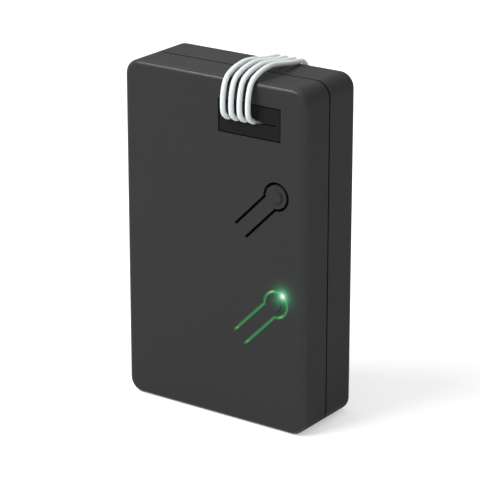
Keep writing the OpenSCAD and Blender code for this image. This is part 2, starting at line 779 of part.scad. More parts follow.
// Screws with a round-edged head and a cross recess
module cover_screws() {
    recess_w = 0.7;
    recess_l = screw_head_d * 0.6;
    head_edge = 0.5;
    color(silver) on_face() at_columns() difference() {
        union() {
            translate([0, 0, head_seat_n]) mirror([0, 0, 1])
                soft_cylinder(screw_head_d / 2, screw_head_h, head_edge);
            translate([0, 0, head_seat_n - cut]) cylinder(d = screw_d, h = screw_l + cut);
        }
        for (a = [0, 90]) translate([0, 0, head_seat_n - screw_head_h]) rotate(a)
            cube([recess_l, recess_w, screw_head_h], center = true);
    }
}

function unit(v) = v / norm(v);
function tangent(route, i) = unit(route[min(i + 1, len(route) - 1)] - route[max(i - 1, 0)]);
function ring(route, i, r) =
    let (along = tangent(route, i), side = unit([1, 0, 0] - along[0] * along), over = cross(along, side))
    [for (j = [0:lead_sides - 1])
        route[i] + r * (cos(360 * j / lead_sides) * side + sin(360 * j / lead_sides) * over)];

// Round tube swept along the points of a route
module tube(route, r) {
    rings = len(route);
    last = (rings - 1) * lead_sides;
    points = [for (i = [0:rings - 1]) each ring(route, i, r)];
    walls = [for (i = [0:rings - 2], j = [0:lead_sides - 1])
        let (a = i * lead_sides + j, b = i * lead_sides + (j + 1) % lead_sides)
        each [[a, a + lead_sides, b + lead_sides], [a, b + lead_sides, b]]];
    start = [for (j = [0:lead_sides - 1]) j];
    end = [for (j = [lead_sides - 1:-1:0]) last + j];
    polyhedron(points, concat([start, end], walls));
}

module lead(i) {
    color(white) translate([lead_x[i], 0, 0]) tube(lead_route, lead_d / 2);
}

module lead_1() {
    lead(0);
}

module lead_2() {
    lead(1);
}

module lead_3() {
    lead(2);
}

module lead_4() {
    lead(3);
}

module lead_tails() {
    color(white) for (x = lead_x) translate([x, 0, 0]) tube(tail_route, lead_d / 2);
}

// Stripped and tinned ends below the insulation
module lead_ends() {
    foot = lead_route[len(lead_route) - 1];
    color(silver) for (x = lead_x) translate([x, 0, -bare_l] + foot) cylinder(d = conductor_d, h = bare_l);
}

front_cover();
rear_cover();
upper_button();
lower_button();
light_guide();
wire_grommet();
main_board();
terminal_block();
terminal_clamps();
upper_switch();
lower_switch();
upper_plunger();
lower_plunger();
status_led();
opener_relay();
lamp_relay();
fuse();
rectifier();
reservoir_capacitor();
regulator();
microcontroller();
radio_board();
radio_shield();
cover_screws();
lead_tails();
lead_ends();
lead_1();
lead_2();
lead_3();
lead_4();
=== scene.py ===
# %% [markdown]
# # A garage door controller
# This lesson dresses a small wall box: two dark moulded shells, two push tongues cut out of
# the face, a green light guide in the lower slot, and four white leads that leave a rubber plate,
# climb the face and run over the top to the back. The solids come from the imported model, which
# gives every piece its place in metres. Blender adds the leads as curves, the bare strands at
# their ends, and a finish for each surface.

# %% The frame
import math

import bpy
import numpy as np
from mathutils import Matrix, Vector


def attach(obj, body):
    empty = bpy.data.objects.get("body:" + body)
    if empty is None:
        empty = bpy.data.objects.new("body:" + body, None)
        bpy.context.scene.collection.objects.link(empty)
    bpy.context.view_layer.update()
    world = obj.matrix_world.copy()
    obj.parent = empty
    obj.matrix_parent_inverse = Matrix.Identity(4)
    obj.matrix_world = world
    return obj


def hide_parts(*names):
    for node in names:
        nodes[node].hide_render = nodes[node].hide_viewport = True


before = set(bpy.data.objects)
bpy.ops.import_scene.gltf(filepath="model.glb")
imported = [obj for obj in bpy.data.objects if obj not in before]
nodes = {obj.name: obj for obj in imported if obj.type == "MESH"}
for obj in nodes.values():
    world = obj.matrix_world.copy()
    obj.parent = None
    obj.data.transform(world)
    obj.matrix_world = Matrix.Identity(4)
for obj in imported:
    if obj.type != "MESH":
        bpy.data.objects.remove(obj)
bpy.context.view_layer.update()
scene = bpy.context.scene
MM = 0.001


def in_mm(corners):
    """Corners in millimetres, rounded for printing."""
    return [[round(x / MM, 2) for x in corner] for corner in corners]


# %% [markdown]
# ## Camera
# The photograph was taken from the right and a little above with a long lens. A camera can be
# placed by eye, but here its angles, distance and focal length were fitted to the corners of the
# box, so they are written down as numbers. The image is square, so one focal length serves both
# ways.

# %% Camera
IMAGE_PX = 480
SENSOR_MM = 36
FOCAL_PX = 2369.7
AZIMUTH = math.radians(35.22)
ELEVATION = math.radians(19.34)
DISTANCE = 615.6 * MM
AIM = Vector((0, 0, 46 * MM))
SLIDE_RIGHT, SLIDE_UP = 0.28 * MM, -0.9 * MM
NEAREST, FURTHEST = 0.01, 20

back = Vector((
    math.sin(AZIMUTH) * math.cos(ELEVATION),
    -math.cos(AZIMUTH) * math.cos(ELEVATION),
    math.sin(ELEVATION),
))
right = Vector((math.cos(AZIMUTH), math.sin(AZIMUTH), 0))
up = back.cross(right)

lens = bpy.data.cameras.new("camera")
lens.sensor_width = SENSOR_MM
lens.lens = FOCAL_PX / IMAGE_PX * SENSOR_MM
lens.clip_start, lens.clip_end = NEAREST, FURTHEST
camera = bpy.data.objects.new("camera", lens)
camera.matrix_world = Matrix((right, up, back)).transposed().to_4x4()
camera.location = AIM + back * DISTANCE + right * SLIDE_RIGHT + up * SLIDE_UP
scene.collection.objects.link(camera)
scene.camera = camera
print("lens in mm:", round(lens.lens, 1))

# %% [markdown]
# ## Leads
# Each lead is a fixed length of soft insulated wire. It comes out of the slit, turns up the face,
# bends over the front edge, lies along the top and hangs down the back. A swept mesh could do
# this, but a curve keeps the wire's own line, so that its length and its bends can be measured.
# All four share one route, set side by side at the terminal's pitch. The handles follow the line
# from the point before to the point after, and stay a third of the way to each neighbour, so the
# long straight run down the back doesn't bulge.

# %% Lead route
LEAD_D = 1.4 * MM
LEAD_PITCH = 2.54 * MM
FIRST_LEAD_X = 4.5 * MM
LEAD_COUNT = 4
LEAD_ROUTE = np.array([
    [0, -10.6, 81.7], [0, -11.4, 81.99], [0, -12.4, 82.6], [0, -13.15, 83.75], [0, -13.35, 85.9],
    [0, -13.1, 88.5], [0, -12.35, 91], [0, -11.65, 92], [0, -10.9, 92.7], [0, -9.65, 93.3],
    [0, -7.05, 94.1], [0, -2.75, 94.5], [0, 6, 93.2], [0, 10.4, 92.78], [0, 11.45, 92.35],
    [0, 12.25, 91.55], [0, 12.7, 90.5], [0, 12.15, 9],
]) * MM
LEAD_X = FIRST_LEAD_X + LEAD_PITCH * np.arange(LEAD_COUNT)


def handles(points):
    """Handles of a smooth path: P - T |a| / 3 and P + T |b| / 3, where a and b are the steps from
    and to the neighbours and T is the unit vector along a + b.

    The first step a and the last step b are nought, so no handle reaches past an end."""
    steps = np.diff(points, axis=0)
    no_step = np.zeros((1, 3))
    before, after = np.vstack([no_step, steps]), np.vstack([steps, no_step])
    along = before + after
    along /= np.linalg.norm(along, axis=1, keepdims=True)
    third_before, third_after = (
        np.linalg.norm(step, axis=1, keepdims=True) / 3 for step in (before, after))
    return points - along * third_before, points + along * third_after


print("points on the route:", len(LEAD_ROUTE))

# %% Lead curves
SECTION_STEPS, PATH_STEPS = 5, 10


def lead_curve(name, x):
    """A round wire: a Bezier spline through the route, shifted to x, with a circle as its section.

    The points carry the wire's radius and the bevel is one metre, so their product is the radius.
    Blender widens a curve's box by the points' radius, which then stays true."""
    data = bpy.data.curves.new(name, "CURVE")
    data.dimensions = "3D"
    data.bevel_depth = 1
    data.bevel_resolution = SECTION_STEPS
    data.resolution_u = PATH_STEPS
    data.use_fill_caps = True
    route = LEAD_ROUTE + [x, 0, 0]
    handles_in, handles_out = handles(route)
    points = data.splines.new("BEZIER").bezier_points
    points.add(len(route) - 1)
    points.foreach_set("co", route.ravel())
    points.foreach_set("handle_left", handles_in.ravel())
    points.foreach_set("handle_right", handles_out.ravel())
    points.foreach_set("radius", np.full(len(route), LEAD_D / 2))
    piece = bpy.data.objects.new(name, data)
    scene.collection.objects.link(piece)
    return piece


leads = []
for number, x in enumerate(LEAD_X, 1):
    lead = lead_curve(f"lead_wire_{number}", x)
    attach(lead, "housing")
    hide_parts(f"lead_{number}")
    leads.append(lead)

# %% [markdown]
# ## Bare ends
# Below the insulation each lead shows a few millimetres of tinned strands: six laid in a twist
# round a straight seventh. A plain cylinder would lose that twist, so every strand is a tube whose
# middle line is a helix. All the strands of all the leads are worked out at once as one array.

# %% Strand shapes
BARE_TOP, BARE_FOOT = 9 * MM, 4 * MM
STRAND_R = 0.135 * MM
LAY_R = 0.265 * MM
LAY_PITCH = 5.5 * MM
RINGS, RING_POINTS = 25, 10
TIP_SHARE = 0.35


def strand_tubes(middle_x, middle_y, phase, lay_r):
    """Tubes round helices: P(u, v) = middle line at u + strand radius times (cos v, sin v).

    The middle line falls from the insulation to the foot and turns once in every lay pitch. The
    last ring shrinks to close the tip. The arrays hold one value for each strand."""
    middle_x, phase, lay_r = (values[:, None, None] for values in (middle_x, phase, lay_r))
    z = np.linspace(BARE_TOP, BARE_FOOT, RINGS)[:, None]
    v = np.arange(RING_POINTS) * 2 * np.pi / RING_POINTS
    angle = phase + 2 * np.pi * (BARE_TOP - z) / LAY_PITCH
    radius = np.full((RINGS, 1), STRAND_R)
    radius[-1] *= TIP_SHARE
    x = middle_x + lay_r * np.cos(angle) + radius * np.cos(v)
    y = middle_y + lay_r * np.sin(angle) + radius * np.sin(v)
    return np.stack([x, y, np.broadcast_to(z, x.shape)], axis=-1)


def tube_faces(tubes):
    """Faces of so many tubes: quads from ring to ring, and a many-sided face at each end."""
    i, j = np.meshgrid(np.arange(RINGS - 1), np.arange(RING_POINTS), indexing="ij")
    k = (j + 1) % RING_POINTS
    here, below = i * RING_POINTS, (i + 1) * RING_POINTS
    quads = np.stack([here + j, below + j, below + k, here + k], -1).reshape(-1, 4)
    ring = np.arange(RING_POINTS)
    ends = np.stack([ring, RINGS * RING_POINTS - 1 - ring])
    first = np.arange(tubes)[:, None, None] * RINGS * RING_POINTS
    sides = (first + quads).reshape(-1, 4)
    caps = (first + ends).reshape(-1, RING_POINTS)
    return sides.tolist() + caps.tolist()


# %% Strands
TWISTED = 6


def mesh_piece(name, points, faces):
    """A smooth mesh object at the origin from an array of points and lists of faces."""
    data = bpy.data.meshes.new(name)
    data.from_pydata(points.reshape(-1, 3).tolist(), [], faces)
    data.validate()
    data.polygons.foreach_set("use_smooth", [True] * len(data.polygons))
    data.update()
    piece = bpy.data.objects.new(name, data)
    scene.collection.objects.link(piece)
    return piece


phase = np.tile(np.r_[0, np.arange(TWISTED) * 2 * np.pi / TWISTED], LEAD_COUNT)
lay_r = np.tile(np.r_[0, np.full(TWISTED, LAY_R)], LEAD_COUNT)
strands = strand_tubes(np.repeat(LEAD_X, TWISTED + 1), LEAD_ROUTE[-1, 1], phase, lay_r)
bare_ends = mesh_piece("bare_strands", strands, tube_faces(len(strands)))
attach(bare_ends, "housing")
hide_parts("lead_ends")
print("strands:", len(strands), "faces:", len(bare_ends.data.polygons))

# %% [markdown]
# ### Cord facts
# All strands are one piece, attached to the housing as the leads are.

# %% Cords
print("cords:", len(leads))

# %% [markdown]
# ## Shared effects
# Several finishes need the same few effects: a fine moulded grain, slow patches of tone, brushed
# lines and the glow round the lamp. Each is a node group, built once, with its own inputs, so a
# material only says how coarse or how strong it wants the effect. The groups read Object
# coordinates, which are metres here because every piece sits at the origin.

# %% Wiring helpers
NUMBER, COLOUR, VECTOR = "NodeSocketFloat", "NodeSocketColor", "NodeSocketVector"


def put(tree, kind, **settings):
    """A node in a tree, with its properties set."""
    node = tree.nodes.new(kind)
    for name, value in settings.items():
        setattr(node, name, value)
    return node


def feed(tree, socket, value):
    """Links a socket into an input, or writes a plain value there."""
    if isinstance(value, bpy.types.NodeSocket):
        tree.links.new(value, socket)
    else:
        socket.default_value = value


def sums(tree, operation, *values):
    """A Math node of these values; returns its result."""
    node = put(tree, "ShaderNodeMath", operation=operation)
    for socket, value in zip(node.inputs, values):
        feed(tree, socket, value)
    return node.outputs[0]


def new_group(name, inputs, outputs):
    """A shader node group with named sockets; returns it with its two end nodes."""
    group = bpy.data.node_groups.new(name, "ShaderNodeTree")
    for label, kind, value in inputs:
        group.interface.new_socket(label, in_out="INPUT", socket_type=kind).default_value = value
    for label, kind in outputs:
        group.interface.new_socket(label, in_out="OUTPUT", socket_type=kind)
    print("group:", name)
    return group, put(group, "NodeGroupInput"), put(group, "NodeGroupOutput")


# %% Pattern helpers


def object_place(tree):
    """The Object coordinates of a tree."""
    return put(tree, "ShaderNodeTexCoord").outputs["Object"]


def stretch(tree, vector, scale):
    """A vector times a number, or axis by axis times another vector."""
    one_number = isinstance(scale, (int, float)) or getattr(scale, "type", "") == "VALUE"
    node = put(tree, "ShaderNodeVectorMath", operation="SCALE" if one_number else "MULTIPLY")
    feed(tree, node.inputs[0], vector)
    feed(tree, node.inputs["Scale"] if one_number else node.inputs[1], scale)
    return node.outputs[0]


def noise(tree, vector, detail=2.0, roughness=0.5):
    """Smooth noise of about one bump per unit of the vector."""
    node = put(tree, "ShaderNodeTexNoise")
    feed(tree, node.inputs["Vector"], vector)
    node.inputs["Scale"].default_value = 1
    node.inputs["Detail"].default_value = detail
    node.inputs["Roughness"].default_value = roughness
    return node.outputs[0]


# %% [markdown]
# ### Moulded grain
# A spark-eroded mould leaves a fine pebbled skin on plastic. The grain is noise mixed with the
# rounded cells of a Voronoi pattern. It gives a height for a Bump node, and a slow tone that lets
# the gloss wander a little, as it does on a real moulding.

# %% Grain group
NOISE_SHARE = 0.6

grain_group, ends_in, ends_out = new_group(
    "moulded grain",
    [("Grain size", NUMBER, 0.2 * MM), ("Patch size", NUMBER, 10 * MM)],
    [("Height", NUMBER), ("Tone", NUMBER)],
)
place = object_place(grain_group)
fine, slow = (
    stretch(grain_group, place, sums(grain_group, "DIVIDE", 1.0, ends_in.outputs[size]))
    for size in ("Grain size", "Patch size"))
cells = put(grain_group, "ShaderNodeTexVoronoi", feature="SMOOTH_F1")
cells.inputs["Scale"].default_value = 1
feed(grain_group, cells.inputs["Vector"], fine)
pebble = sums(grain_group, "SUBTRACT", 1.0, cells.outputs["Distance"])
rough_noise = noise(grain_group, fine, detail=3.0, roughness=0.6)
height = sums(grain_group, "MULTIPLY_ADD", rough_noise, NOISE_SHARE, pebble)
feed(grain_group, ends_out.inputs["Height"], height)
tone = noise(grain_group, slow, detail=3.0, roughness=0.55)
feed(grain_group, ends_out.inputs["Tone"], tone)

# %% [markdown]
# ### Brushed lines
# Rolled or plated metal shows fine lines along one direction. The same noise is stretched by
# different amounts along the three axes, so it becomes streaks.

# %% Brushed group
TONE_PER_METRE = 900.0

brushed_group, ends_in, ends_out = new_group(
    "brushed lines",
    [("Lines per metre", VECTOR, (400, 400, 9000))],
    [("Height", NUMBER), ("Tone", NUMBER)],
)
place = object_place(brushed_group)
lines = stretch(brushed_group, place, ends_in.outputs["Lines per metre"])
streaks = noise(brushed_group, lines, detail=3.0, roughness=0.6)
feed(brushed_group, ends_out.inputs["Height"], streaks)
tone = noise(brushed_group, stretch(brushed_group, place, TONE_PER_METRE))
feed(brushed_group, ends_out.inputs["Tone"], tone)

# %% [markdown]
# ### Lamp glow
# The lamp behind the light guide is much brighter than the rest, so it lights the plastic round
# it. A camera also spreads that light a little. Both fade with distance, and so does this group:
# each colour channel is an exponential of the distance from the lamp's bright point. Red fades
# first, which leaves the outer glow green.

# %% Glow group
BUTTON_X, LOWER_Z = 19.25 * MM, 34.75 * MM
RING_R = 3.475 * MM
LAMP_ANGLE = math.radians(52)
FACE_Y = -11.25 * MM
LAMP_SPOT = (
    BUTTON_X + RING_R * math.cos(LAMP_ANGLE), FACE_Y, LOWER_Z + RING_R * math.sin(LAMP_ANGLE),
)
GLOW = {  # strength and reach of each channel
    "Red": (1.9, 0.44 * MM),
    "Green": (1.3, 0.93 * MM),
    "Blue": (1.2, 0.7 * MM),
}

glow_group, ends_in, ends_out = new_group(
    "lamp glow", [("Centre", VECTOR, LAMP_SPOT)], [("Colour", COLOUR), ("Distance", NUMBER)],
)
apart = put(glow_group, "ShaderNodeVectorMath", operation="DISTANCE")
feed(glow_group, apart.inputs[0], object_place(glow_group))
feed(glow_group, apart.inputs[1], ends_in.outputs["Centre"])
distance = apart.outputs["Value"]
mixed = put(glow_group, "ShaderNodeCombineColor")
for channel, (strength, reach) in GLOW.items():
    faded = sums(glow_group, "EXPONENT", sums(glow_group, "DIVIDE", distance, -reach))
    feed(glow_group, mixed.inputs[channel], sums(glow_group, "MULTIPLY", faded, strength))
feed(glow_group, ends_out.inputs["Colour"], mixed.outputs[0])
feed(glow_group, ends_out.inputs["Distance"], distance)
print("lamp spot in mm:", in_mm([LAMP_SPOT]))

# %% [markdown]
# ### Rubbed edges and the parting line
# Hands and packing polish the front edges of a box, so they catch a thin line of light. Along the
# joint between the shells the colour is darkened: a painted shade for the shadow in the parting
# line. Both follow from one number, the depth behind the front face, so the group turns that depth
# into two masks.

# %% Depth group
EDGE_R = 1.3 * MM
SEAM_Y = -0.65 * MM
RUB_STARTS = 0.02 * EDGE_R, 0.12 * EDGE_R
RUB_ENDS = 0.75 * EDGE_R, EDGE_R
# The painted shade along the parting line fades out between these distances from the seam.
SEAM_SHADE_ENDS = 0.22 * MM, 0.42 * MM


def step_up(tree, value, low, high):
    """A mask that rises smoothly from 0 at low to 1 at high."""
    node = put(tree, "ShaderNodeMapRange", interpolation_type="SMOOTHSTEP")
    feed(tree, node.inputs[0], value)
    node.inputs[1].default_value, node.inputs[2].default_value = low, high
    return node.outputs[0]


def step_down(tree, value, low, high):
    """A mask that falls smoothly from 1 at low to 0 at high."""
    return sums(tree, "SUBTRACT", 1.0, step_up(tree, value, low, high))


depth_group, ends_in, ends_out = new_group(
    "depth masks",
    [("Face", NUMBER, FACE_Y), ("Seam", NUMBER, SEAM_Y)],
    [("Rubbed", NUMBER), ("Joint", NUMBER)],
)
split = put(depth_group, "ShaderNodeSeparateXYZ")
feed(depth_group, split.inputs[0], object_place(depth_group))
depth = sums(depth_group, "SUBTRACT", split.outputs["Y"], ends_in.outputs["Face"])
rise, fall = step_up(depth_group, depth, *RUB_STARTS), step_down(depth_group, depth, *RUB_ENDS)
feed(depth_group, ends_out.inputs["Rubbed"], sums(depth_group, "MULTIPLY", rise, fall))
from_seam = sums(depth_group, "SUBTRACT", split.outputs["Y"], ends_in.outputs["Seam"])
from_seam = sums(depth_group, "ABSOLUTE", from_seam)
feed(depth_group, ends_out.inputs["Joint"], step_down(depth_group, from_seam, *SEAM_SHADE_ENDS))

# %% [markdown]
# ### Light on the slot's rim
# The guide's light also falls on the walls and the rim of its slot, so the lit line is a little
# wider than the rib. A lamp inside the slot would need many samples to show that. The slot's
# middle line is known, two straight legs and a ring, so the light can follow the distance from it
# instead, worked out along and across the tongue.

# %% Slot distance
TONGUE_ANGLE = math.radians(45)
TONGUE_L, TONGUE_T = 15.3 * MM, 1.6 * MM
LEG_OFFSET = 2.225 * MM
JOIN = -math.sqrt(RING_R ** 2 - LEG_OFFSET ** 2)
ALONG = (math.cos(TONGUE_ANGLE), 0, math.sin(TONGUE_ANGLE))
ACROSS = (-math.sin(TONGUE_ANGLE), 0, math.cos(TONGUE_ANGLE))
INWARD = (0, 1, 0)


def share_along(tree, vector, way):
    """How far a vector goes along a way: their dot product."""
    node = put(tree, "ShaderNodeVectorMath", operation="DOT_PRODUCT")
    feed(tree, node.inputs[0], vector)
    node.inputs[1].default_value = way
    return node.outputs["Value"]


def between(tree, factor, a, b):
    """A number between a and b."""
    node = put(tree, "ShaderNodeMix")
    for socket, value in zip((node.inputs[0], node.inputs[2], node.inputs[3]), (factor, a, b)):
        feed(tree, socket, value)
    return node.outputs[0]


def slot_distance(tree, head):
    """Distance from a slot's middle line, with u along the tongue and v across it from the head.

    Beside the tongue it is | |v| - leg offset |, or the step past the root; round the head it is
    | r - ring radius |. Behind the tongue it grows with the depth."""
    from_head = put(tree, "ShaderNodeVectorMath", operation="SUBTRACT")
    feed(tree, from_head.inputs[0], object_place(tree))
    from_head.inputs[1].default_value = head
    u, v, depth = (
        share_along(tree, from_head.outputs[0], way) for way in (ALONG, ACROSS, INWARD))
    beside = sums(tree, "SUBTRACT", sums(tree, "ABSOLUTE", v), LEG_OFFSET)
    past_root = sums(tree, "SUBTRACT", -TONGUE_L, u)
    leg = sums(tree, "MAXIMUM", sums(tree, "ABSOLUTE", beside), past_root)
    radius = sums(tree, "SQRT", sums(tree, "MULTIPLY_ADD", u, u, sums(tree, "MULTIPLY", v, v)))
    ring = sums(tree, "ABSOLUTE", sums(tree, "SUBTRACT", radius, RING_R))
    on_face = between(tree, sums(tree, "LESS_THAN", u, JOIN), ring, leg)
    return sums(tree, "MAXIMUM", on_face, sums(tree, "SUBTRACT", depth, TONGUE_T))


print("from the head's middle to the legs in mm:", round(-JOIN / MM, 2))

# %% [markdown]
# ## Finishes
# Every finish here is one Principled shader whose colour, gloss and bump come from nodes. Most of
# the surfaces are moulded, so one function makes a moulded finish from two close colours, a span
# of roughness and a grain. What a single piece needs beyond that is added in its own cell.

# %% Colour helpers


def rgba(colour):
    """A colour with full alpha; a socket stays as it is."""
    return colour if isinstance(colour, bpy.types.NodeSocket) else (*colour, 1)


def blend(tree, factor, a, b, way="MIX"):
    """Colour between a and b, or another way to blend them."""
    node = put(tree, "ShaderNodeMix", data_type="RGBA", blend_type=way)
    feed(tree, node.inputs[0], factor)
    feed(tree, node.inputs[6], rgba(a))
    feed(tree, node.inputs[7], rgba(b))
    return node.outputs[2]


def spread(tree, value, low, high):
    """A value between 0 and 1 spread over low to high."""
    node = put(tree, "ShaderNodeMapRange")
    feed(tree, node.inputs[0], value)
    node.inputs[3].default_value, node.inputs[4].default_value = low, high
    return node.outputs[0]


# %% Material helpers


def new_material(name):
    """A material with only a Principled shader; returns it with its tree and shader."""
    material = bpy.data.materials.new(name)
    material.use_nodes = True
    tree = material.node_tree
    return material, tree, tree.nodes["Principled BSDF"]


def use_group(tree, group, **values):
    """A group placed in a material, with its inputs set by name."""
    node = put(tree, "ShaderNodeGroup", node_tree=group)
    for name, value in values.items():
        node.inputs[name.replace("_", " ")].default_value = value
    return node


def bump(tree, shader, height, depth):
    """A Bump node of this depth in metres, fed by a height, into the shader's Normal."""
    node = put(tree, "ShaderNodeBump")
    node.inputs["Strength"].default_value = 1
    node.inputs["Distance"].default_value = depth
    feed(tree, node.inputs["Height"], height)
    feed(tree, shader.inputs["Normal"], node.outputs[0])


def moulding(name, light, dark, rough, grain_mm, depth_mm, patch_mm):
    """A moulded plastic or rubber: two close colours, a span of roughness, and a grain."""
    material, tree, shader = new_material(name)
    grain = use_group(tree, grain_group, Grain_size=grain_mm * MM, Patch_size=patch_mm * MM)
    tone = grain.outputs["Tone"]
    feed(tree, shader.inputs["Base Color"], blend(tree, tone, dark, light))
    feed(tree, shader.inputs["Roughness"], spread(tree, tone, *rough))
    bump(tree, shader, grain.outputs["Height"], depth_mm * MM)
    return material, tree, shader


def dress(material, *names):
    """Gives CAD nodes a material."""
    for name in names:
        slots = nodes[name].data.materials
        slots.clear()
        slots.append(material)
    print(material.name, "on", ", ".join(names))


# %% [markdown]
# ## Housing plastic
# Both shells and the two tongues are one charcoal plastic with a fine matte skin. A single grey
# would look like paint, so the colour and the gloss drift slowly and the grain gives the skin its
# broken shine. Rubbed edges get a lower roughness and a thin coat.

# %% Housing plastic
# The colour of the painted shade along the parting line between the shells.
SEAM_PAINTED_SHADE = (0.009, 0.009, 0.0095)
RUBBED_ROUGHNESS, RUBBED_COAT = 0.3, 0.16

housing_plastic, tree, shader = moulding(
    "housing plastic", light=(0.036, 0.036, 0.0371), dark=(0.0325, 0.0325, 0.0334),
    rough=(0.6, 0.7), grain_mm=0.16, depth_mm=0.004, patch_mm=14)
shader.inputs["Specular IOR Level"].default_value = 0.1
shader.inputs["Coat Roughness"].default_value = 0.14
masks = use_group(tree, depth_group).outputs
skin, gloss = (
    shader.inputs[name].links[0].from_socket for name in ("Base Color", "Roughness"))
# Painted shade: the base colour goes dark in a band along the parting line between the shells.
feed(tree, shader.inputs["Base Color"], blend(tree, masks["Joint"], skin, SEAM_PAINTED_SHADE))
edge_gloss = between(tree, masks["Rubbed"], gloss, RUBBED_ROUGHNESS)
feed(tree, shader.inputs["Roughness"], edge_gloss)
edge_coat = sums(tree, "MULTIPLY", masks["Rubbed"], RUBBED_COAT)
feed(tree, shader.inputs["Coat Weight"], edge_coat)
dress(housing_plastic, "front_cover", "rear_cover", "upper_button", "lower_button")

# %% [markdown]
# ### Light on the housing
# The plastic round the guide is lit from behind and from the slot. Lamps inside would be slow and
# noisy, so the housing gives off that light itself: the lamp's glow plus the light on the rim.

# %% Light on the housing
RIM_GREEN = (0.02, 0.135, 0.042)
RIM_ENDS = 0.34 * MM, 0.45 * MM
BLACK = (0, 0, 0)

from_slot = slot_distance(tree, (BUTTON_X, FACE_Y, LOWER_Z))
rim_light = blend(tree, step_down(tree, from_slot, *RIM_ENDS), BLACK, RIM_GREEN)
lamp_light = use_group(tree, glow_group).outputs["Colour"]
feed(tree, shader.inputs["Emission Color"], blend(tree, 1, lamp_light, rim_light, way="ADD"))
shader.inputs["Emission Strength"].default_value = 1
print("light on the rim ends in mm:", in_mm([RIM_ENDS]))

# %% [markdown]
# ## Grommet rubber
# The plate in the window is smoother and blacker than the housing, and soft in its shine. A darker
# copy of the housing would still look like plastic, so the rubber has a finer grain and less
# gloss.

# %% Grommet rubber
rubber, tree, shader = moulding(
    "grommet rubber", light=(0.0105, 0.0105, 0.0109), dark=(0.0086, 0.0086, 0.009),
    rough=(0.58, 0.68), grain_mm=0.09, depth_mm=0.004, patch_mm=4)
shader.inputs["Specular IOR Level"].default_value = 0.08
dress(rubber, "wire_grommet")

# %% [markdown]
# ## Light guide
# The clear rib carries the lamp's light round the lower slot and lets it out along its edge. It is
# brightest at the lamp, and shows a few warmer spots where the rib ends or turns and the light
# breaks out. A volume of scattering glass would be slow and noisy at this size, so the edge simply
# gives off light that follows those distances. Each spot is a bell curve of its distance, with its
# own reach.

# %% Light guide
GUIDE_SPOTS = [  # x, z and reach in mm, and weight
    (17.9, 37.95, 0.95, 1.0),
    (20.9, 31.5, 0.75, 0.8),
    (7.25, 25.45, 0.6, 1.0),
    (10.5, 22.85, 0.5, 0.6),
]
LIT_DIM, LIT_BRIGHT = (0.023, 0.155, 0.044), (0.033, 0.208, 0.07)
LIT_WARM = (0.21, 0.48, 0.155)
UNLIT_DARK, UNLIT_LIGHT = (0.01, 0.04, 0.015), (0.015, 0.06, 0.02)


def bell(tree, distance, reach):
    """Bell curve: e to the power of minus (distance / reach) squared."""
    steps = sums(tree, "DIVIDE", distance, reach)
    squared = sums(tree, "MULTIPLY", steps, steps)
    return sums(tree, "EXPONENT", sums(tree, "MULTIPLY", squared, -1.0))


guide_plastic, tree, shader = new_material("lit guide")
shader.inputs["Roughness"].default_value = 0.25
shader.inputs["Specular IOR Level"].default_value = 0.1
grain = use_group(tree, grain_group, Grain_size=0.35 * MM, Patch_size=1.6 * MM)
tone = grain.outputs["Tone"]
feed(tree, shader.inputs["Base Color"], blend(tree, tone, UNLIT_DARK, UNLIT_LIGHT))
warm = 0.0
for x, z, reach, weight in GUIDE_SPOTS:
    spot = use_group(tree, glow_group, Centre=(x * MM, FACE_Y, z * MM))
    near = bell(tree, spot.outputs["Distance"], reach * MM)
    warm = sums(tree, "MULTIPLY_ADD", near, weight, warm)
warm = sums(tree, "MINIMUM", warm, 1.0)
lit = blend(tree, warm, blend(tree, tone, LIT_DIM, LIT_BRIGHT), LIT_WARM)
lamp_light = use_group(tree, glow_group).outputs["Colour"]
feed(tree, shader.inputs["Emission Color"], blend(tree, 1, lit, lamp_light, way="ADD"))
shader.inputs["Emission Strength"].default_value = 1
dress(guide_plastic, "light_guide")

# %% [markdown]
# ## Lead insulation
# The leads are a cool white and satin, with the faint unevenness of an extruded skin. Their grey
# sides in the photograph are only shade, so the colour stays near white. A curve takes a material
# as a mesh does.

# %% Lead insulation
insulation, tree, shader = moulding(
    "lead insulation", light=(0.885, 0.935, 0.94), dark=(0.855, 0.905, 0.91),
    rough=(0.36, 0.48), grain_mm=0.5, depth_mm=0.012, patch_mm=3)
shader.inputs["Specular IOR Level"].default_value = 0.3
for lead in leads:
    lead.data.materials.append(insulation)
dress(insulation, "lead_tails")

# %% [markdown]
# ## Metals
# The bare strands, the terminal's collars, the shield can and the screws are plated metal. A plain
# mirror would look like chrome, so fine lines break the reflection. All share the brushed group
# and differ in tint, gloss and the direction of their lines.

# %% Metals
STREAK_DEPTH = 0.004 * MM


def plated(name, light, dark, rough, lines):
    """A plated metal with streaks: tint and gloss follow the slow tone, the bump the streaks."""
    material, tree, shader = new_material(name)
    shader.inputs["Metallic"].default_value = 1
    brushed = use_group(tree, brushed_group, Lines_per_metre=lines)
    tone = brushed.outputs["Tone"]
    feed(tree, shader.inputs["Base Color"], blend(tree, tone, dark, light))
    feed(tree, shader.inputs["Roughness"], spread(tree, tone, *rough))
    bump(tree, shader, brushed.outputs["Height"], STREAK_DEPTH)
    return material


tinned = plated(
    "tinned copper", light=(0.68, 0.68, 0.7), dark=(0.52, 0.52, 0.54),
    rough=(0.22, 0.4), lines=(6000, 6000, 700))
shield_steel = plated(
    "shield steel", light=(0.6, 0.6, 0.61), dark=(0.48, 0.48, 0.49),
    rough=(0.25, 0.38), lines=(500, 500, 9000))
screw_steel = plated(
    "screw steel", light=(0.56, 0.55, 0.52), dark=(0.42, 0.42, 0.42),
    rough=(0.28, 0.45), lines=(5000, 5000, 5000))
bare_ends.data.materials.append(tinned)
dress(tinned, "terminal_clamps")
dress(shield_steel, "radio_shield")
dress(screw_steel, "cover_screws")

# %% [markdown]
# ## Circuit boards
# A lacquered board shows its copper tracks as slightly lighter, raised lines under the green. A
# real layout would be hundreds of shapes; stepped noise along two directions gives tracks that run
# straight and turn at right angles, which reads well at this size.

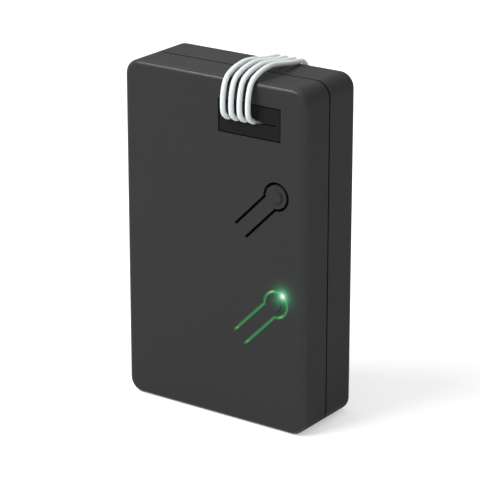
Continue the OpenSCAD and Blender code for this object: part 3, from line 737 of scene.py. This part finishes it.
# %% Boards
TRACK_BENDS_PER_METRE = 90.0
TRACKS_PER_WIDTH = 1.2
TRACK_EDGE = 0.56, 0.6
TRACK_DEPTH = 0.03 * MM
LACQUER_ROUGHNESS = 0.34, 0.26


def laminate(name, lacquer, track, track_mm):
    """Lacquered board: bands of noise, sharpened to tracks, lift the colour and the surface."""
    material, tree, shader = new_material(name)
    place = object_place(tree)
    bends, close = TRACK_BENDS_PER_METRE, TRACKS_PER_WIDTH / (track_mm * MM)
    across = noise(tree, stretch(tree, place, (bends, bends, close)), detail=0.0)
    along = noise(tree, stretch(tree, place, (close, bends, bends)), detail=0.0)
    tracks = step_up(tree, sums(tree, "MAXIMUM", across, along), *TRACK_EDGE)
    feed(tree, shader.inputs["Base Color"], blend(tree, tracks, lacquer, track))
    feed(tree, shader.inputs["Roughness"], spread(tree, tracks, *LACQUER_ROUGHNESS))
    bump(tree, shader, tracks, TRACK_DEPTH)
    return material


board_laminate = laminate("board laminate", (0.008, 0.07, 0.025), (0.016, 0.13, 0.045), 0.9)
radio_laminate = laminate("radio laminate", (0.004, 0.026, 0.065), (0.01, 0.05, 0.11), 0.5)
dress(board_laminate, "main_board")
dress(radio_laminate, "radio_board")

# %% [markdown]
# ## Parts on the board
# Inside the closed box stand the terminal, switches, relays and chips. They are ordinary
# mouldings in black, ivory, amber and dark blue, so one function serves them all with different
# colours, gloss and grain. The lamp's lens gives off light as well.

# %% Board parts
PART_FINISHES = [  # name, light and dark colour, roughness, grain in mm, nodes
    ("terminal plastic", (0.017, 0.018, 0.02), (0.012, 0.013, 0.014), (0.4, 0.55), 0.2,
     ["terminal_block"]),
    ("switch plastic", (0.014, 0.014, 0.015), (0.01, 0.01, 0.011), (0.4, 0.55), 0.15,
     ["upper_switch", "lower_switch"]),
    ("plunger plastic", (0.7, 0.67, 0.6), (0.62, 0.59, 0.52), (0.35, 0.5), 0.2,
     ["upper_plunger", "lower_plunger"]),
    ("relay case", (0.68, 0.28, 0.025), (0.58, 0.22, 0.015), (0.2, 0.32), 0.4,
     ["opener_relay", "lamp_relay"]),
    ("component black", (0.013, 0.013, 0.014), (0.009, 0.009, 0.01), (0.45, 0.65), 0.12,
     ["fuse", "rectifier", "regulator", "microcontroller"]),
    ("capacitor sleeve", (0.015, 0.02, 0.085), (0.01, 0.013, 0.06), (0.18, 0.3), 0.5,
     ["reservoir_capacitor"]),
]
for name, light, dark, rough, grain_mm, dressed in PART_FINISHES:
    finish = moulding(name, light, dark, rough, grain_mm, depth_mm=0.01, patch_mm=3)[0]
    dress(finish, *dressed)

# %% Lamp lens
LENS_DIM, LENS_BRIGHT = (0.3, 0.9, 0.4), (0.6, 1, 0.65)

lamp_lens, tree, shader = moulding(
    "lamp lens", light=(0.25, 0.85, 0.35), dark=(0.18, 0.72, 0.28),
    rough=(0.12, 0.2), grain_mm=0.6, depth_mm=0.004, patch_mm=2)
lens_grain = use_group(tree, grain_group, Grain_size=0.4 * MM, Patch_size=1.5 * MM)
lens_light = blend(tree, lens_grain.outputs["Tone"], LENS_DIM, LENS_BRIGHT)
feed(tree, shader.inputs["Emission Color"], lens_light)
shader.inputs["Emission Strength"].default_value = 1
dress(lamp_lens, "status_led")
print("finishes:", len(bpy.data.materials))

# %% [markdown]
# ## Studio
# The photograph has a white surround with no hard shadows, and light from the upper left. A pale
# floor catches the shadow. For the camera it gives off some light of its own, more further out, so
# that it comes out white without more light on the object; seen from below it lets the view
# through. A large soft lamp is the key light, a small one draws the line along the top edge, a weak
# one above fills the top, a low one behind fills the back, and the world gives the rest.

# %% Floor
FLOOR_SIZE = 6.0
FLOOR_CELLS = 8

ticks = np.linspace(-0.5, 0.5, FLOOR_CELLS + 1) * FLOOR_SIZE
x, y = np.meshgrid(ticks, ticks, indexing="ij")
i, j = np.meshgrid(np.arange(FLOOR_CELLS), np.arange(FLOOR_CELLS), indexing="ij")
row = FLOOR_CELLS + 1
corner = i * row + j
floor_faces = np.stack([corner, corner + row, corner + row + 1, corner + 1], -1).reshape(-1, 4)
floor = mesh_piece("studio_floor", np.stack([x, y, np.zeros_like(x)], -1), floor_faces.tolist())
print("floor in metres:", FLOOR_SIZE)

# %% Floor paint
FLOOR_OWN_LIGHT = 0.46
FAR_FLOOR_LIGHT = 0.32
FAR_FLOOR = 0.35, 1.5
WHITE = (1, 1, 1, 1)


def seen_directly(tree):
    """1 for rays from the camera, or by way of gloss or glass; 0 for rays that light things."""
    path = put(tree, "ShaderNodeLightPath").outputs
    seen = sums(tree, "MAXIMUM", path["Is Camera Ray"], path["Is Glossy Ray"])
    return sums(tree, "MAXIMUM", seen, path["Is Transmission Ray"])


floor_paint, tree, shader = new_material("studio floor")
shader.inputs["Base Color"].default_value = (0.85, 0.85, 0.85, 1)
shader.inputs["Roughness"].default_value = 0.9
shader.inputs["Specular IOR Level"].default_value = 0
shader.inputs["Emission Color"].default_value = WHITE
from_middle = put(tree, "ShaderNodeVectorMath", operation="LENGTH")
feed(tree, from_middle.inputs[0], object_place(tree))
far = step_up(tree, from_middle.outputs["Value"], *FAR_FLOOR)
own_light = sums(tree, "MULTIPLY_ADD", far, FAR_FLOOR_LIGHT, FLOOR_OWN_LIGHT)
seen_light = sums(tree, "MULTIPLY", seen_directly(tree), own_light)
feed(tree, shader.inputs["Emission Strength"], seen_light)
sides = put(tree, "ShaderNodeMixShader")
feed(tree, sides.inputs[0], put(tree, "ShaderNodeNewGeometry").outputs["Backfacing"])
feed(tree, sides.inputs[1], shader.outputs[0])
feed(tree, sides.inputs[2], put(tree, "ShaderNodeBsdfTransparent").outputs[0])
feed(tree, tree.nodes["Material Output"].inputs["Surface"], sides.outputs[0])
floor.data.materials.append(floor_paint)
print("floor's own light:", FLOOR_OWN_LIGHT, "rising by", FAR_FLOOR_LIGHT)

# %% World and lamps
WORLD_LIGHT, WORLD_SEEN = 0.35, 1.0
LAMPS = [  # name, place and size in metres, watts
    ("key", (-0.456, -0.847, 0.92), 0.6, 10.4),
    ("edge", (-0.7, -0.43, 1.05), 0.24, 4.1),
    ("overhead", (0.05, 0.1, 1.2), 0.8, 2.1),
    ("rear", (-0.15, 1.1, 0.12), 0.2, 4.0),
]


def softbox(name, place, size, watts):
    """A square area lamp that faces the middle of the object."""
    data = bpy.data.lights.new(name, "AREA")
    data.shape = "SQUARE"
    data.size = size
    data.energy = watts
    lamp = bpy.data.objects.new(name, data)
    lamp.location = place
    lamp.rotation_mode = "QUATERNION"
    lamp.rotation_quaternion = (AIM - Vector(place)).to_track_quat("-Z", "Y")
    scene.collection.objects.link(lamp)


world = bpy.data.worlds.new("studio")
scene.world = world
world.use_nodes = True
tree = world.node_tree
sky = tree.nodes["Background"]
sky.inputs["Color"].default_value = WHITE
feed(tree, sky.inputs["Strength"], spread(tree, seen_directly(tree), WORLD_LIGHT, WORLD_SEEN))
for lamp in LAMPS:
    softbox(*lamp)
scene.view_settings.view_transform = "Standard"
print("lamps:", ", ".join(lamp[0] for lamp in LAMPS))
